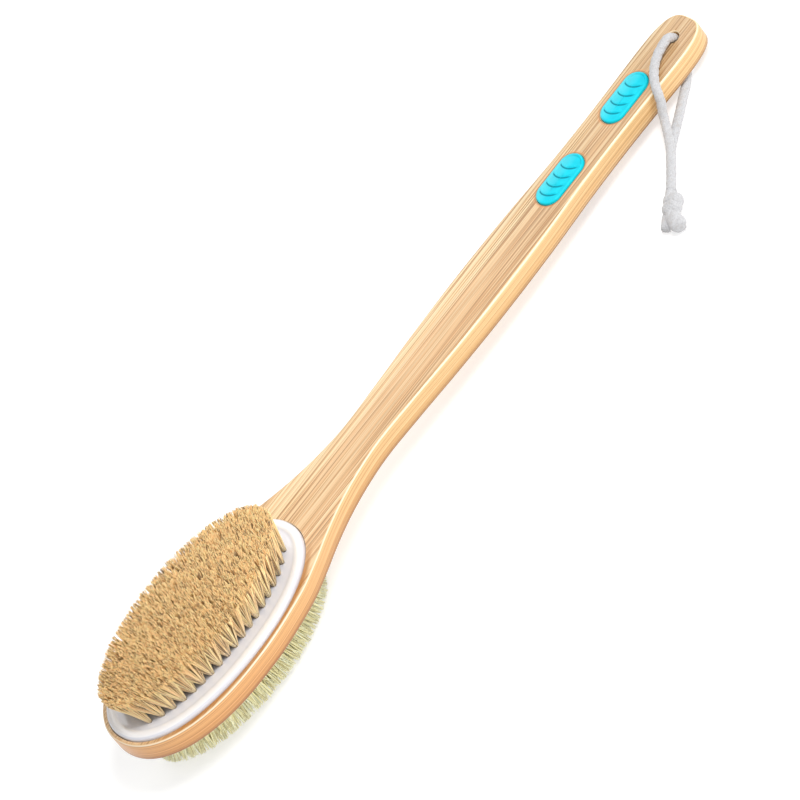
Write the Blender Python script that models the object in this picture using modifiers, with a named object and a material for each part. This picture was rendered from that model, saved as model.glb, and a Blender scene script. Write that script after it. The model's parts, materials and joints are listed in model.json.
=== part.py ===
"""Double-sided body brush with a long bamboo handle, lying on its rear bristles.

Metres, +Z up. The brush is modelled flat about its own mid-plane (X across, Y from the head to
the handle tip, Z towards the front bristles) under an empty that tilts and lifts it into its
resting pose. Y counts from a datum just past the head's end. The cord is laid in world
coordinates round the handle and onto the surface.
"""

import math

import bmesh
import bpy
from mathutils import Matrix, Vector

# Board: one piece of bamboo, head and handle together
HEAD_END = 0.0026
TIP_END = 0.4305
THICKNESS = 0.0118
EDGE_RADIUS = 0.0014
HEAD_HALF_WIDTH = 0.0361
HEAD_WIDEST = 0.063
HEAD_POWER = 2.15
SIDE_STATIONS = (  # (Y, half-width): shoulder, neck, swell, grip
    (0.063, 0.0361),
    (0.077, 0.0358),
    (0.091, 0.0341),
    (0.106, 0.0313),
    (0.120, 0.0267),
    (0.134, 0.0214),
    (0.149, 0.0168),
    (0.165, 0.0135),
    (0.182, 0.0118),
    (0.205, 0.0124),
    (0.235, 0.0138),
    (0.267, 0.0145),
    (0.302, 0.0140),
    (0.338, 0.0123),
    (0.368, 0.0119),
    (0.404, 0.0126),
)
TIP_START = 0.404
TIP_POWER = 3.2

# Hanging hole
HOLE_Y = 0.418
HOLE_RADIUS = 0.0033
HOLE_MOUTH_ROUND = 0.0008

# Oval bristle plates, let into both faces of the head
PLATE_Y = 0.0672
PLATE_HALF_LENGTH = 0.0625
PLATE_HALF_WIDTH = 0.0334
PLATE_POWER = 2.17
PLATE_POCKET_DEPTH = 0.0038
PLATE_PROFILE = (  # (inset from the pocket's wall, height over the wood): lip, crease, plateau
    (0.0003, 0.0006),
    (0.0008, 0.0014),
    (0.0018, 0.0019),
    (0.0032, 0.0017),
    (0.0042, 0.0010),
    (0.0050, 0.0010),
    (0.0056, 0.0015),
    (0.0066, 0.0017),
)

# Bristle tufts, in rows across the head, fanning out from an oval of holes to an oval cut
TUFT_PITCH = 0.0062
ROWS = 19
TUFT_BASE_RADIUS = 0.0016
TUFT_SPLIT = 0.42  # share of the height below which the tufts of a row stand apart
FRONT_TUFT_TOP = 0.0215  # above the front face
REAR_TUFT_TOP = 0.0200  # below the rear face
FRONT_BASE_OVAL = (0.0670, 0.0222, 0.0545)  # Y of its centre, half-width, half-length
FRONT_TIP_OVAL = (0.0670, 0.0257, 0.0575)
REAR_BASE_OVAL = (0.0685, 0.0222, 0.0530)
REAR_TIP_OVAL = (0.0700, 0.0268, 0.0548)

# Rubber grip pads
PAD_YS = (0.3815, 0.3327)
PAD_RADIUS = 0.0070
PAD_HALF_STRAIGHT = 0.0080
PAD_POCKET_DEPTH = 0.0016
PAD_PROFILE = ((0.0003, 0.0005), (0.0007, 0.0010), (0.0012, 0.0011), (0.0018, 0.0006))
RIDGE_YS = (0.0059, 0.0007, -0.0045, -0.0097)
RIDGE_ARC = ((-0.0047, 0.0013), (-0.0032, 0.0), (-0.0008, 0.0003), (0.0018, 0.0016), (0.0040, 0.0036))
RIDGE_RADIUS = 0.0005

# Cord: one rope through the hole, tied to itself
CORD_RADIUS = 0.00225
CORD_STEP = 0.0042
GAP = 0.0003

# Resting pose: the handle-side edge of the rear bristles and the cord under the handle carry it
REAR_CONTACT_Y = REAR_TIP_OVAL[0] + REAR_TIP_OVAL[2]
CORD_ROOM = 2 * CORD_RADIUS + 2 * GAP

# Cord routes from the hole's centre on the front face (across, along) and up from the surface
FRONT_ROUTE = (
    (-0.0006, 0.0004, 0.0115),
    (-0.0004, 0.0004, 0.0140),
    (0.0005, -0.0006, 0.0176),
    (0.0012, -0.0032, 0.0200),
    (0.0017, -0.0068, 0.0205),
    (0.0024, -0.0113, 0.0203),
    (0.0046, -0.0164, 0.0203),
    (0.0082, -0.0212, 0.0205),
    (0.0120, -0.0248, 0.0206),
    (0.0152, -0.0278, 0.0188),
    (0.0163, -0.0299, 0.0148),
    (0.0165, -0.0322, 0.0110),
    (0.0176, -0.0342, 0.0083),
    (0.0203, -0.0365, 0.0077),
    (0.0241, -0.0396, 0.0074),
    (0.0282, -0.0433, 0.0070),
    (0.0324, -0.0474, 0.0067),
    (0.0366, -0.0520, 0.0067),
    (0.0407, -0.0568, 0.0067),
    (0.0438, -0.0608, 0.0067),
    (0.0462, -0.0638, 0.0069),
)
REAR_ROUTE = (
    (-0.0006, 0.0004, 0.0104),
    (-0.0005, 0.0003, 0.0084),
    (0.0003, -0.0007, 0.0053),
    (0.0022, -0.0027, 0.0030),
    (0.0053, -0.0061, 0.0025),
    (0.0089, -0.0105, 0.0025),
    (0.0113, -0.0141, 0.0025),
    (0.0132, -0.0178, 0.0025),
    (0.0155, -0.0221, 0.0025),
    (0.0182, -0.0272, 0.0025),
    (0.0208, -0.0322, 0.0025),
    (0.0233, -0.0372, 0.0025),
    (0.0258, -0.0420, 0.0025),
    (0.0286, -0.0464, 0.0024),
    (0.0326, -0.0510, 0.0024),
    (0.0367, -0.0558, 0.0024),
    (0.0409, -0.0606, 0.0024),
    (0.0446, -0.0646, 0.0025),
)
KNOT_AT = (0.0500, -0.0684, 0.0050)
KNOT_HALF_SIZES = (0.0052, 0.0056, 0.0048)
TAILS = {  # name: route from the knot to the cut end, radii along it
    "cord_tail_long": (
        ((0.0553, -0.0725, 0.0044), (0.0585, -0.0748, 0.0042), (0.0610, -0.0762, 0.0041)),
        (0.0024, 0.0034, 0.0036),
    ),
    "cord_tail_short": (
        ((0.0503, -0.0745, 0.0029), (0.0514, -0.0780, 0.0027), (0.0526, -0.0812, 0.0022)),
        (0.0024, 0.0023, 0.0015),
    ),
}

# Colour, roughness and metallic value of each material
FINISHES = {
    "bamboo": ((0.72, 0.46, 0.22, 1.0), 0.45, 0.0),
    "plate_white": ((0.86, 0.86, 0.90, 1.0), 0.20, 0.0),
    "grip_rubber": ((0.02, 0.60, 0.75, 1.0), 0.50, 0.0),
    "bristle_tan": ((0.62, 0.34, 0.15, 1.0), 0.80, 0.0),
    "bristle_cream": ((0.80, 0.78, 0.45, 1.0), 0.80, 0.0),
    "cord_cotton": ((0.78, 0.78, 0.80, 1.0), 0.90, 0.0),
}


def material(name):
    """The named finish as a Principled material, made on first use."""
    found = bpy.data.materials.get(name)
    if found:
        return found
    colour, roughness, metallic = FINISHES[name]
    made = bpy.data.materials.new(name)
    made.use_nodes = True
    shader = made.node_tree.nodes["Principled BSDF"]
    shader.inputs["Base Color"].default_value = colour
    shader.inputs["Roughness"].default_value = roughness
    shader.inputs["Metallic"].default_value = metallic
    return made


def clear_scene():
    for obj in list(bpy.data.objects):
        bpy.data.objects.remove(obj)


def collection(name, hidden=False):
    made = bpy.data.collections.new(name)
    bpy.context.scene.collection.children.link(made)
    made.hide_render = hidden
    return made


def resting_tilt():
    """Angle about X at which the handle end comes down onto the cord under it."""
    reach = HOLE_Y - REAR_CONTACT_Y
    # reach * sin(a) = REAR_TUFT_TOP * cos(a) - CORD_ROOM
    slant = math.hypot(reach, REAR_TUFT_TOP)
    return math.asin(-CORD_ROOM / slant) + math.atan2(REAR_TUFT_TOP, reach)


def resting_frame():
    """From the flat brush to the world: tilted, centred in X and Y, lowest bristle tip at Z 0."""
    tilt = resting_tilt()
    lift = REAR_CONTACT_Y * math.sin(tilt) + (THICKNESS / 2 + REAR_TUFT_TOP) * math.cos(tilt)
    middle = (HEAD_END + TIP_END) / 2 * math.cos(tilt)
    return Matrix.Translation((0.0, -middle, lift)) @ Matrix.Rotation(-tilt, 4, "X")


def new_object(name, mesh, finish, into, parent=None):
    obj = bpy.data.objects.new(name, mesh)
    into.objects.link(obj)
    obj.parent = parent
    if finish:
        mesh.materials.clear()
        mesh.materials.append(material(finish))
        mesh.shade_smooth()
        mesh.set_sharp_from_angle(angle=math.radians(35))
    return obj


def mesh_from_curve(data, name):
    """A closed mesh of a curve, its caps welded on."""
    holder = bpy.data.objects.new(name, data)
    bpy.context.scene.collection.objects.link(holder)
    bpy.context.view_layer.update()
    graph = bpy.context.evaluated_depsgraph_get()
    mesh = bpy.data.meshes.new_from_object(holder.evaluated_get(graph))
    bpy.data.objects.remove(holder)
    bm = bmesh.new()
    bm.from_mesh(mesh)
    bmesh.ops.remove_doubles(bm, verts=bm.verts, dist=1e-6)
    bmesh.ops.recalc_face_normals(bm, faces=bm.faces)
    bm.to_mesh(mesh)
    bm.free()
    return mesh


def plate_mesh(name, outline, low, high):
    """A flat piece with this outline between two heights."""
    data = bpy.data.curves.new(name, "CURVE")
    data.dimensions = "2D"
    data.fill_mode = "BOTH"
    data.extrude = (high - low) / 2
    spline = data.splines.new("POLY")
    spline.points.add(len(outline) - 1)
    for point, (x, y) in zip(spline.points, outline):
        point.co = (x, y, 0.0, 1.0)
    spline.use_cyclic_u = True
    mesh = mesh_from_curve(data, name)
    mesh.transform(Matrix.Translation((0.0, 0.0, (low + high) / 2)))
    return mesh


def smooth_value(stations, at):
    """Half-width at a distance along the board, on a smooth curve through the stations."""
    last = len(stations) - 1
    i = max(k for k in range(last) if stations[k][0] <= at + 1e-9)
    x0, y0 = stations[i]
    x1, y1 = stations[i + 1]
    before = stations[max(i - 1, 0)]
    after = stations[min(i + 2, last)]
    slope0 = (y1 - before[1]) / (x1 - before[0]) if i > 0 else 0.0
    slope1 = (after[1] - y0) / (after[0] - x0)
    span = x1 - x0
    t = (at - x0) / span
    return (
        (2 * t**3 - 3 * t**2 + 1) * y0
        + (t**3 - 2 * t**2 + t) * span * slope0
        + (3 * t**2 - 2 * t**3) * y1
        + (t**3 - t**2) * span * slope1
    )


def oval_point(angle, half_width, half_length, power):
    """Point of a superellipse, from its +Y end round by +X."""
    s, c = math.sin(angle), math.cos(angle)
    x = math.copysign(abs(s) ** (2 / power), s) * half_width
    y = math.copysign(abs(c) ** (2 / power), c) * half_length
    return x, y


def board_outline():
    """The board's right side from the head's end to the tip, and the same mirrored."""
    right = []
    for i in range(14):
        angle = math.pi - i * math.pi / 28
        x, y = oval_point(angle, HEAD_HALF_WIDTH, HEAD_WIDEST - HEAD_END, HEAD_POWER)
        right.append((x, HEAD_WIDEST + y))
    steps = 30
    for i in range(steps):
        y = HEAD_WIDEST + (TIP_START - HEAD_WIDEST) * i / steps
        right.append((smooth_value(SIDE_STATIONS, y), y))
    half = SIDE_STATIONS[-1][1]
    for i in range(11):
        x, y = oval_point(math.pi / 2 - i * math.pi / 20, half, TIP_END - TIP_START, TIP_POWER)
        right.append((x, TIP_START + y))
    right[0] = (0.0, HEAD_END)
    right[-1] = (0.0, TIP_END)
    left = [(-x, y) for x, y in reversed(right[1:-1])]
    return right + left


def stadium(radius, half_straight, arc_steps=12):
    points = []
    for i in range(arc_steps + 1):
        angle = math.pi * i / arc_steps
        points.append((radius * math.cos(angle), half_straight + radius * math.sin(angle)))
    for i in range(arc_steps + 1):
        angle = math.pi + math.pi * i / arc_steps
        points.append((radius * math.cos(angle), -half_straight + radius * math.sin(angle)))
    return points


def oval_outline(half_width, half_length, power, steps=56):
    angles = [2 * math.pi * i / steps for i in range(steps)]
    return [oval_point(a, half_width, half_length, power) for a in angles]


def lofted_mesh(name, rings):
    """A closed body through rings of equal count, each a list of (x, y) and a height."""
    bm = bmesh.new()
    loops = [[bm.verts.new((x, y, z)) for x, y in outline] for outline, z in rings]
    for low, high in zip(loops, loops[1:]):
        for i in range(len(low)):
            j = (i + 1) % len(low)
            bm.faces.new((low[i], low[j], high[j], high[i]))
    bm.faces.new(loops[0])
    bm.faces.new(loops[-1])
    bmesh.ops.recalc_face_normals(bm, faces=bm.faces)
    mesh = bpy.data.meshes.new(name)
    bm.to_mesh(mesh)
    bm.free()
    return mesh


def hole_cutter_mesh():
    """The hanging hole with rounded mouths, as rings from below the board to above it."""
    half = THICKNESS / 2
    profile = [(HOLE_RADIUS + HOLE_MOUTH_ROUND, half + 0.001)]
    for i in range(5):
        turn = math.pi / 2 * i / 4
        out = HOLE_MOUTH_ROUND * (1 - math.sin(turn))
        down = HOLE_MOUTH_ROUND * (1 - math.cos(turn))
        profile.append((HOLE_RADIUS + out, half - down))
    profile += [(radius, -z) for radius, z in reversed(profile)]
    rings = []
    for radius, z in reversed(profile):
        circle = [2 * math.pi * i / 24 for i in range(24)]
        rings.append(([(radius * math.cos(a), radius * math.sin(a)) for a in circle], z))
    return lofted_mesh("hole_cutter", rings)


def cut(obj, mesh, place, cutters):
    """Subtracts a mesh, placed in the brush's own axes, from the object."""
    cutter = new_object(mesh.name, mesh, None, cutters, obj.parent)
    cutter.matrix_local = place
    cutter.hide_render = True
    cutter.display_type = "WIRE"
    modifier = obj.modifiers.new(mesh.name, "BOOLEAN")
    modifier.operation = "DIFFERENCE"
    modifier.solver = "EXACT"
    modifier.object = cutter


def bamboo_handle(parts, cutters, rest):
    half = THICKNESS / 2
    mesh = plate_mesh("bamboo_handle", board_outline(), -half, half)
    obj = new_object("bamboo_handle", mesh, "bamboo", parts, rest)
    rounding = obj.modifiers.new("edge_rounding", "BEVEL")
    rounding.width = EDGE_RADIUS
    rounding.segments = 3
    rounding.limit_method = "ANGLE"
    rounding.angle_limit = math.radians(60)
    oval = oval_outline(PLATE_HALF_WIDTH, PLATE_HALF_LENGTH, PLATE_POWER)
    floor = half - PLATE_POCKET_DEPTH
    at_plate = Matrix.Translation((0.0, PLATE_Y, 0.0))
    cut(obj, plate_mesh("front_pocket", oval, floor, half + 0.001), at_plate, cutters)
    cut(obj, plate_mesh("rear_pocket", oval, -half - 0.001, -floor), at_plate, cutters)
    pad = stadium(PAD_RADIUS, PAD_HALF_STRAIGHT)
    for i, y in enumerate(PAD_YS):
        pocket = plate_mesh(f"pad_pocket_{i + 1}", pad, half - PAD_POCKET_DEPTH, half + 0.001)
        cut(obj, pocket, Matrix.Translation((0.0, y, 0.0)), cutters)
    cut(obj, hole_cutter_mesh(), Matrix.Translation((0.0, HOLE_Y, 0.0)), cutters)


def bristle_plate(name, side, parts, rest):
    """A moulded plate: side wall down into the pocket, rounded lip, crease and raised plateau."""
    low = THICKNESS / 2 - PLATE_POCKET_DEPTH + GAP
    rings = []
    for inset, height in ((GAP, None),) + PLATE_PROFILE:
        oval = oval_outline(PLATE_HALF_WIDTH - inset, PLATE_HALF_LENGTH - inset, PLATE_POWER)
        level = low if height is None else THICKNESS / 2 + height
        rings.append((oval, level * side))
    obj = new_object(name, lofted_mesh(name, rings), "plate_white", parts, rest)
    obj.location = (0.0, PLATE_Y, 0.0)


def oval_reach(offset, oval):
    """Half-width of an oval field of bristles at this distance from its centre."""
    _, half_width, half_length = oval
    share = min(abs(offset) / half_length, 0.975)
    return half_width * math.sqrt(1 - share**2)


def tuft_row(name, number, side, top, base, tip, finish, parts, rest):
    """One row: cones from the plate that meet part-way up and end in a level cut."""
    place = (number - (ROWS - 1) / 2) / ROWS
    offset = place * 2 * base[2] * 0.96
    tip_offset = place * 2 * tip[2]
    depth = tip[2] / ROWS - GAP / 2
    base_half = oval_reach(offset, base)
    near_half = oval_reach(tip_offset - depth, tip)
    far_half = oval_reach(tip_offset + depth, tip)
    count = max(round(2 * base_half / TUFT_PITCH) + 1, 2)
    foot = THICKNESS / 2 + PLATE_PROFILE[-1][1] + GAP
    head = THICKNESS / 2 + top
    split = foot + (head - foot) * TUFT_SPLIT

    bm = bmesh.new()

    def vert(x, y, z):
        return bm.verts.new((x, y, z * side))

    shares = [2 * i / count - 1 for i in range(count + 1)]
    near_y = tip[0] + tip_offset - depth
    far_y = tip[0] + tip_offset + depth
    near = [(vert(near_half * s, near_y, split), vert(near_half * s, near_y, head)) for s in shares]
    far = [(vert(far_half * s, far_y, split), vert(far_half * s, far_y, head)) for s in shares]
    for i in range(count):
        middle = (shares[i] + shares[i + 1]) / 2
        foot_x = -base_half + 2 * base_half * i / (count - 1)
        near_mid = vert(near_half * middle, near_y, split)
        far_mid = vert(far_half * middle, far_y, split)
        collar = (near[i][0], near_mid, near[i + 1][0], far[i + 1][0], far_mid, far[i][0])
        ring = []
        for k in range(6):
            angle = math.radians(210 + 60 * k)
            x = foot_x + TUFT_BASE_RADIUS * math.cos(angle)
            y = base[0] + offset + TUFT_BASE_RADIUS * math.sin(angle)
            ring.append(vert(x, y, foot))
        for k in range(6):
            bm.faces.new((ring[k], ring[(k + 1) % 6], collar[(k + 1) % 6], collar[k]))
        bm.faces.new(ring)
        bm.faces.new((near[i][0], near_mid, near[i + 1][0], near[i + 1][1], near[i][1]))
        bm.faces.new((far[i][0], far_mid, far[i + 1][0], far[i + 1][1], far[i][1]))
        bm.faces.new((near[i][1], near[i + 1][1], far[i + 1][1], far[i][1]))
    for i in (0, count):
        bm.faces.new((near[i][0], near[i][1], far[i][1], far[i][0]))
    bmesh.ops.recalc_face_normals(bm, faces=bm.faces)
    mesh = bpy.data.meshes.new(name)
    bm.to_mesh(mesh)
    bm.free()
    new_object(name, mesh, finish, parts, rest)


def tuft_rows(parts, rest):
    fields = (
        ("front", 1, FRONT_TUFT_TOP, FRONT_BASE_OVAL, FRONT_TIP_OVAL, "bristle_tan"),
        ("rear", -1, REAR_TUFT_TOP, REAR_BASE_OVAL, REAR_TIP_OVAL, "bristle_cream"),
    )
    for label, side, top, base, tip, finish in fields:
        for i in range(ROWS):
            name = f"{label}_tuft_row_{i + 1:02d}"
            tuft_row(name, i, side, top, base, tip, finish, parts, rest)


def tube_data(name, points, radius, radii=None, resolution=2):
    data = bpy.data.curves.new(name, "CURVE")
    data.dimensions = "3D"
    data.bevel_depth = radius
    data.bevel_resolution = resolution
    data.use_fill_caps = True
    spline = data.splines.new("POLY")
    spline.points.add(len(points) - 1)
    for i, (point, co) in enumerate(zip(spline.points, points)):
        point.co = (*co, 1.0)
        point.radius = radii[i] / radius if radii else 1.0
    return data


def grip_pad(name, y, parts, cutters, rest):
    """A moulded pad with a raised rim round a sunken face, and four curved ridges on it."""
    low = THICKNESS / 2 - PAD_POCKET_DEPTH + GAP
    rings = []
    for inset, height in ((GAP, None),) + PAD_PROFILE:
        level = low if height is None else THICKNESS / 2 + height
        rings.append((stadium(PAD_RADIUS - inset, PAD_HALF_STRAIGHT), level))
    obj = new_object(name, lofted_mesh(name, rings), "grip_rubber", parts, rest)
    obj.location = (0.0, y, 0.0)
    face = THICKNESS / 2 + PAD_PROFILE[-1][1]
    for i, ridge_y in enumerate(RIDGE_YS):
        points = [(x, ridge_y + dy, face) for x, dy in RIDGE_ARC]
        label = f"{name}_ridge_{i + 1}"
        mesh = mesh_from_curve(tube_data(label, points, RIDGE_RADIUS, resolution=1), label)
        ridge = new_object(label, mesh, None, cutters, rest)
        ridge.location = (0.0, y, 0.0)
        ridge.hide_render = True
        ridge.display_type = "WIRE"
        joined = obj.modifiers.new(label, "BOOLEAN")
        joined.operation = "UNION"
        joined.solver = "EXACT"
        joined.object = ridge


def smooth_route(points, step):
    """Evenly spaced points on a smooth curve through the route's own points."""
    knots = [Vector(p) for p in points]
    knots = [2 * knots[0] - knots[1]] + knots + [2 * knots[-1] - knots[-2]]
    dense = []
    for i in range(1, len(knots) - 2):
        a, b, c, d = knots[i - 1 : i + 3]
        for k in range(16):
            t = k / 16
            pull = (c - a) * t + (2 * a - 5 * b + 4 * c - d) * t**2 + (3 * b - a - 3 * c + d) * t**3
            dense.append(b + pull / 2)
    dense.append(knots[-2])
    lengths = [0.0]
    for a, b in zip(dense, dense[1:]):
        lengths.append(lengths[-1] + (b - a).length)
    count = max(round(lengths[-1] / step), 2)
    picked = []
    i = 0
    for k in range(count + 1):
        target = lengths[-1] * k / count
        while i < len(dense) - 2 and lengths[i + 1] < target:
            i += 1
        span = lengths[i + 1] - lengths[i]
        picked.append(dense[i].lerp(dense[i + 1], (target - lengths[i]) / span))
    return picked


def from_hole(route, frame):
    """Route points counted from the hole's centre, in world coordinates."""
    hole = frame @ Vector((0.0, HOLE_Y, THICKNESS / 2))
    return [Vector((hole.x + x, hole.y + y, z)) for x, y, z in route]


def cord(parts, frame):
    for name, route in (("cord_front_strand", FRONT_ROUTE), ("cord_rear_strand", REAR_ROUTE)):
        points = smooth_route(from_hole(route, frame), CORD_STEP)
        obj = bpy.data.objects.new(name, tube_data(name, points, CORD_RADIUS))
        obj.data.materials.append(material("cord_cotton"))
        parts.objects.link(obj)
    bm = bmesh.new()
    bmesh.ops.create_uvsphere(bm, u_segments=16, v_segments=10, radius=1.0)
    bmesh.ops.scale(bm, vec=KNOT_HALF_SIZES, verts=bm.verts)
    mesh = bpy.data.meshes.new("cord_knot")
    bm.to_mesh(mesh)
    bm.free()
    knot = new_object("cord_knot", mesh, "cord_cotton", parts)
    knot.location = from_hole((KNOT_AT,), frame)[0]
    for name, (route, radii) in TAILS.items():
        obj = bpy.data.objects.new(name, tube_data(name, from_hole(route, frame), CORD_RADIUS, radii))
        obj.data.materials.append(material("cord_cotton"))
        parts.objects.link(obj)


def build():
    clear_scene()
    parts = collection("body_brush")
    cutters = collection("cutters", hidden=True)
    frame = resting_frame()
    rest = bpy.data.objects.new("resting_pose", None)
    parts.objects.link(rest)
    rest.matrix_world = frame
    bamboo_handle(parts, cutters, rest)
    bristle_plate("front_bristle_plate", 1, parts, rest)
    bristle_plate("rear_bristle_plate", -1, parts, rest)
    tuft_rows(parts, rest)
    grip_pad("upper_grip_pad", PAD_YS[0], parts, cutters, rest)
    grip_pad("lower_grip_pad", PAD_YS[1], parts, cutters, rest)
    cord(parts, frame)


build()
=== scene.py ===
"""Looks of the body brush: fine geometry, materials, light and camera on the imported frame."""

import json
import math
import random

import bmesh
import bpy
import numpy as np
from mathutils import Matrix, Vector


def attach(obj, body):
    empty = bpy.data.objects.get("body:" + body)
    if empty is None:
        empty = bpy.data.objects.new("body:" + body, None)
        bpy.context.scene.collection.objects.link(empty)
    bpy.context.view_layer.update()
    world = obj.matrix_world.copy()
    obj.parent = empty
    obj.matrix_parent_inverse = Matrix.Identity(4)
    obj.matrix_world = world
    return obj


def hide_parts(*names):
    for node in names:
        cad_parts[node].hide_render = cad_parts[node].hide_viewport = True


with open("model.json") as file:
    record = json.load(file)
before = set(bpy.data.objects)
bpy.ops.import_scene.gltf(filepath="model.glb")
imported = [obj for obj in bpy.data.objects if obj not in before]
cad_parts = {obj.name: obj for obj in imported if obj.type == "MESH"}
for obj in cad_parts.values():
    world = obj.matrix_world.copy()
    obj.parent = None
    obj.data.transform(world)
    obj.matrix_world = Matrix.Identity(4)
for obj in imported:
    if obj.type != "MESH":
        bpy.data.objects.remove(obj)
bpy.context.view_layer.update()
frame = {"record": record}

# ---------------------------------------------------------------- the brush's own axes
# Flat, the board is X across, Y from just past the head's end to the tip, Z to the tan side.
FACE = next(m for m in frame["record"]["mounts"] if m["name"] == "handle_front")
FACE_AT = 0.250  # the mount's Y
THICKNESS = 0.0118
HALF = THICKNESS / 2
HEAD_END = 0.0026
TIP_END = 0.4305
UP = Vector(FACE["axis"]).normalized()
ALONG = UP.cross(Vector((1.0, 0.0, 0.0))).normalized()
DATUM = Vector(FACE["pos_m"]) - ALONG * FACE_AT - UP * HALF
PLACE = Matrix.Translation(DATUM) @ Matrix((Vector((1, 0, 0)), ALONG, UP)).transposed().to_4x4()

# Sizes that the CAD parts have, in metres
EDGE_RADIUS = 0.0014
HEAD_HALF_WIDTH = 0.0361
HEAD_WIDEST = 0.063
HEAD_POWER = 2.15
SIDE_STATIONS = (  # distance along the board and half its width there
    (HEAD_WIDEST, HEAD_HALF_WIDTH),
    (0.077, 0.0358),
    (0.091, 0.0341),
    (0.106, 0.0313),
    (0.120, 0.0267),
    (0.134, 0.0214),
    (0.149, 0.0168),
    (0.165, 0.0135),
    (0.182, 0.0118),
    (0.205, 0.0124),
    (0.235, 0.0138),
    (0.267, 0.0145),
    (0.302, 0.0140),
    (0.338, 0.0123),
    (0.368, 0.0119),
    (0.404, 0.0126),
)
TIP_START, TIP_HALF_WIDTH = SIDE_STATIONS[-1]
TIP_POWER = 3.2
HOLE_Y = 0.418
HOLE_RADIUS = 0.0033
PLATE_Y = 0.0672
PLATE_HALF_LENGTH = 0.0625
PLATE_HALF_WIDTH = 0.0334
PLATE_POWER = 2.17
POCKET_DEPTH = 0.0038
TUFT_PITCH = 0.0062
ROWS = 19
PLATEAU = 0.0017
FRONT_TUFT_TOP = 0.0215
REAR_TUFT_TOP = 0.0200
PAD_YS = (0.3815, 0.3327)
PAD_RADIUS = 0.0070
PAD_HALF_STRAIGHT = 0.0080
PAD_POCKET_DEPTH = 0.0016
CORD_RADIUS = 0.00225
GAP = 0.0003

# The bristle fields' ovals: Y of the centre, half-width, half-length. The cut ends
# reach a little past the CAD rows, as loose hairs do.
FRONT_BASE_OVAL = (0.0670, 0.0222, 0.0545)
FRONT_TIP_OVAL = (0.0670, 0.0271, 0.0580)
REAR_BASE_OVAL = (0.0685, 0.0222, 0.0530)
REAR_TIP_OVAL = (0.0700, 0.0279, 0.0570)

# ---------------------------------------------------------------- camera
VIEW_TURN = math.radians(44)  # how far the brush is turned to show its right side
VIEW_DIP = 0.22  # sine of how far the head's end tips towards the lens
VIEW_ROLL = math.radians(-0.34)
PICTURE_ROLL = math.radians(38.468)  # the brush leans to the upper right
VIEW_SPAN = 0.362  # width of the picture at the brush
VIEW_DISTANCE = 5.0
VIEW_AIM = Vector((0.0, 0.2107, 0.0))  # this point of the brush
AIM_SHIFT = (-0.0020, -0.00335)  # and from it to the picture's middle, right and up


def camera():
    """A long lens turned to the brush's own right and head end, rolled so the brush leans."""
    rise = math.sqrt(1 - VIEW_DIP**2)
    right = Vector((math.cos(VIEW_TURN), 0.0, -math.sin(VIEW_TURN)))
    up = Vector((VIEW_DIP * math.sin(VIEW_TURN), rise, VIEW_DIP * math.cos(VIEW_TURN)))
    turned_right = right * math.cos(VIEW_ROLL) + up * math.sin(VIEW_ROLL)
    turned_up = up * math.cos(VIEW_ROLL) - right * math.sin(VIEW_ROLL)
    c, s = math.cos(PICTURE_ROLL), math.sin(PICTURE_ROLL)
    x_axis = turned_right * c + turned_up * s
    y_axis = turned_up * c - turned_right * s
    aim = VIEW_AIM + x_axis * AIM_SHIFT[0] + y_axis * AIM_SHIFT[1]
    z_axis = x_axis.cross(y_axis)
    turn = Matrix((x_axis, y_axis, z_axis)).transposed().to_4x4()
    data = bpy.data.cameras.new("camera")
    data.sensor_width = 36.0
    data.lens = 36.0 * VIEW_DISTANCE / VIEW_SPAN
    data.clip_start = 0.1
    data.clip_end = 100.0
    made = bpy.data.objects.new("camera", data)
    made.matrix_world = PLACE @ Matrix.Translation(aim + z_axis * VIEW_DISTANCE) @ turn
    bpy.context.scene.collection.objects.link(made)
    bpy.context.scene.camera = made


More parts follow.
